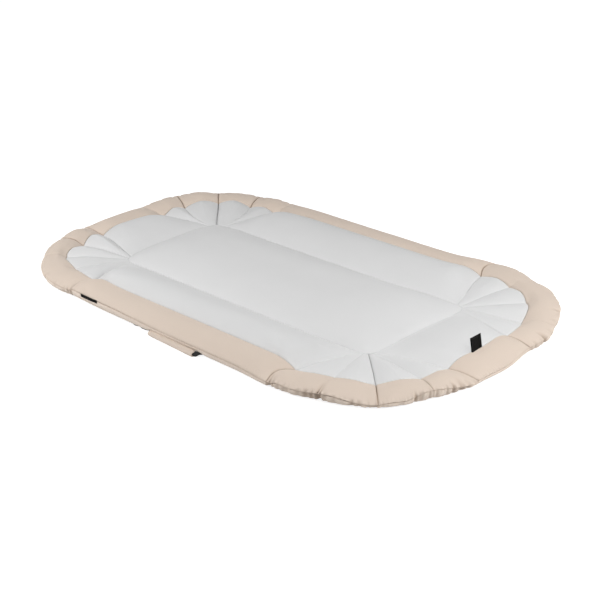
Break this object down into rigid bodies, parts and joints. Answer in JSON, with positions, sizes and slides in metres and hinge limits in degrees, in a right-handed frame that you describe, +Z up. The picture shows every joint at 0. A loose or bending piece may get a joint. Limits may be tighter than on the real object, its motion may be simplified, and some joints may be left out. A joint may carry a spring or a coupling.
{
  "type": "infant lounger",
  "caption": "Soft padded infant lounger opened flat as a mat: raised mattress, pale lining, beige rim, fan-gathered corners, long sides that fold up and pull-out carry handles.",
  "frame": {"origin": "middle of the flat underside, on the surface that the mat lies on", "axes": "+X along the length towards the foot end that carries the small tag, +Y towards the far long side, +Z up"},
  "size_m": [1.1366, 0.736, 0.063],
  "materials": {
    "lining_jersey": "matte white jersey with a fine knit",
    "rim_twill": "matte warm beige woven cotton",
    "underside_twill": "matte beige woven cotton, a shade darker",
    "fibre_filling": "white polyester fibre wadding, hidden inside",
    "mattress_foam": "cream open-cell foam, hidden inside",
    "black_webbing": "ribbed black woven webbing",
    "black_label": "black woven label, bare",
    "hem_elastic": "white covered elastic cord, hidden in the hem"
  },
  "bodies": {
    "base": {"mattress_lining": "lining_jersey", "mattress_foam": "mattress_foam", "mattress_underside": "underside_twill", "head_end_lining": "lining_jersey", "head_end_rim": "rim_twill", "head_end_filling": "fibre_filling", "head_end_underside": "underside_twill", "foot_end_lining": "lining_jersey", "foot_end_rim": "rim_twill", "foot_end_filling": "fibre_filling", "foot_end_underside": "underside_twill", "foot_tag": "black_label", "near_head_corner_lining": "lining_jersey", "near_head_corner_rim": "rim_twill", "near_head_corner_filling": "fibre_filling", "near_head_corner_underside": "underside_twill", "near_head_corner_elastic": "hem_elastic", "near_foot_corner_lining": "lining_jersey", "near_foot_corner_rim": "rim_twill", "near_foot_corner_filling": "fibre_filling", "near_foot_corner_underside": "underside_twill", "near_foot_corner_elastic": "hem_elastic", "far_head_corner_lining": "lining_jersey", "far_head_corner_rim": "rim_twill", "far_head_corner_filling": "fibre_filling", "far_head_corner_underside": "underside_twill", "far_head_corner_elastic": "hem_elastic", "far_foot_corner_lining": "lining_jersey", "far_foot_corner_rim": "rim_twill", "far_foot_corner_filling": "fibre_filling", "far_foot_corner_underside": "underside_twill", "far_foot_corner_elastic": "hem_elastic"},
    "side_near": {"near_side_lining": "lining_jersey", "near_side_rim": "rim_twill", "near_side_filling": "fibre_filling", "near_side_underside": "underside_twill", "near_handle_webbing": "black_webbing", "side_label": "black_label"},
    "side_far": {"far_side_lining": "lining_jersey", "far_side_rim": "rim_twill", "far_side_filling": "fibre_filling", "far_side_underside": "underside_twill", "far_handle_webbing": "black_webbing"},
    "handle_near": {"near_handle_grip_cover": "rim_twill", "near_handle_grip_padding": "mattress_foam"},
    "handle_far": {"far_handle_grip_cover": "rim_twill", "far_handle_grip_padding": "mattress_foam"}
  },
  "joints": [
    {"name": "side_near_fold", "type": "hinge", "parent": "base", "child": "side_near", "pos_m": [0, -0.1405, 0.01435], "axis": [-1, 0, 0], "range_deg": [0, 75], "deforming": ["near_head_corner_lining", "near_head_corner_rim", "near_head_corner_filling", "near_head_corner_underside", "near_head_corner_elastic", "near_foot_corner_lining", "near_foot_corner_rim", "near_foot_corner_filling", "near_foot_corner_underside", "near_foot_corner_elastic"]},
    {"name": "side_far_fold", "type": "hinge", "parent": "base", "child": "side_far", "pos_m": [0, 0.1405, 0.01435], "axis": [1, 0, 0], "range_deg": [0, 75], "deforming": ["far_head_corner_lining", "far_head_corner_rim", "far_head_corner_filling", "far_head_corner_underside", "far_head_corner_elastic", "far_foot_corner_lining", "far_foot_corner_rim", "far_foot_corner_filling", "far_foot_corner_underside", "far_foot_corner_elastic"]},
    {"name": "handle_near_pull", "type": "slide", "parent": "side_near", "child": "handle_near", "axis": [0, -1, 0], "range_m": [0, 0.06], "deforming": ["near_handle_webbing"]},
    {"name": "handle_far_pull", "type": "slide", "parent": "side_far", "child": "handle_far", "axis": [0, 1, 0], "range_m": [0, 0.06], "deforming": ["far_handle_webbing"]}
  ]
}
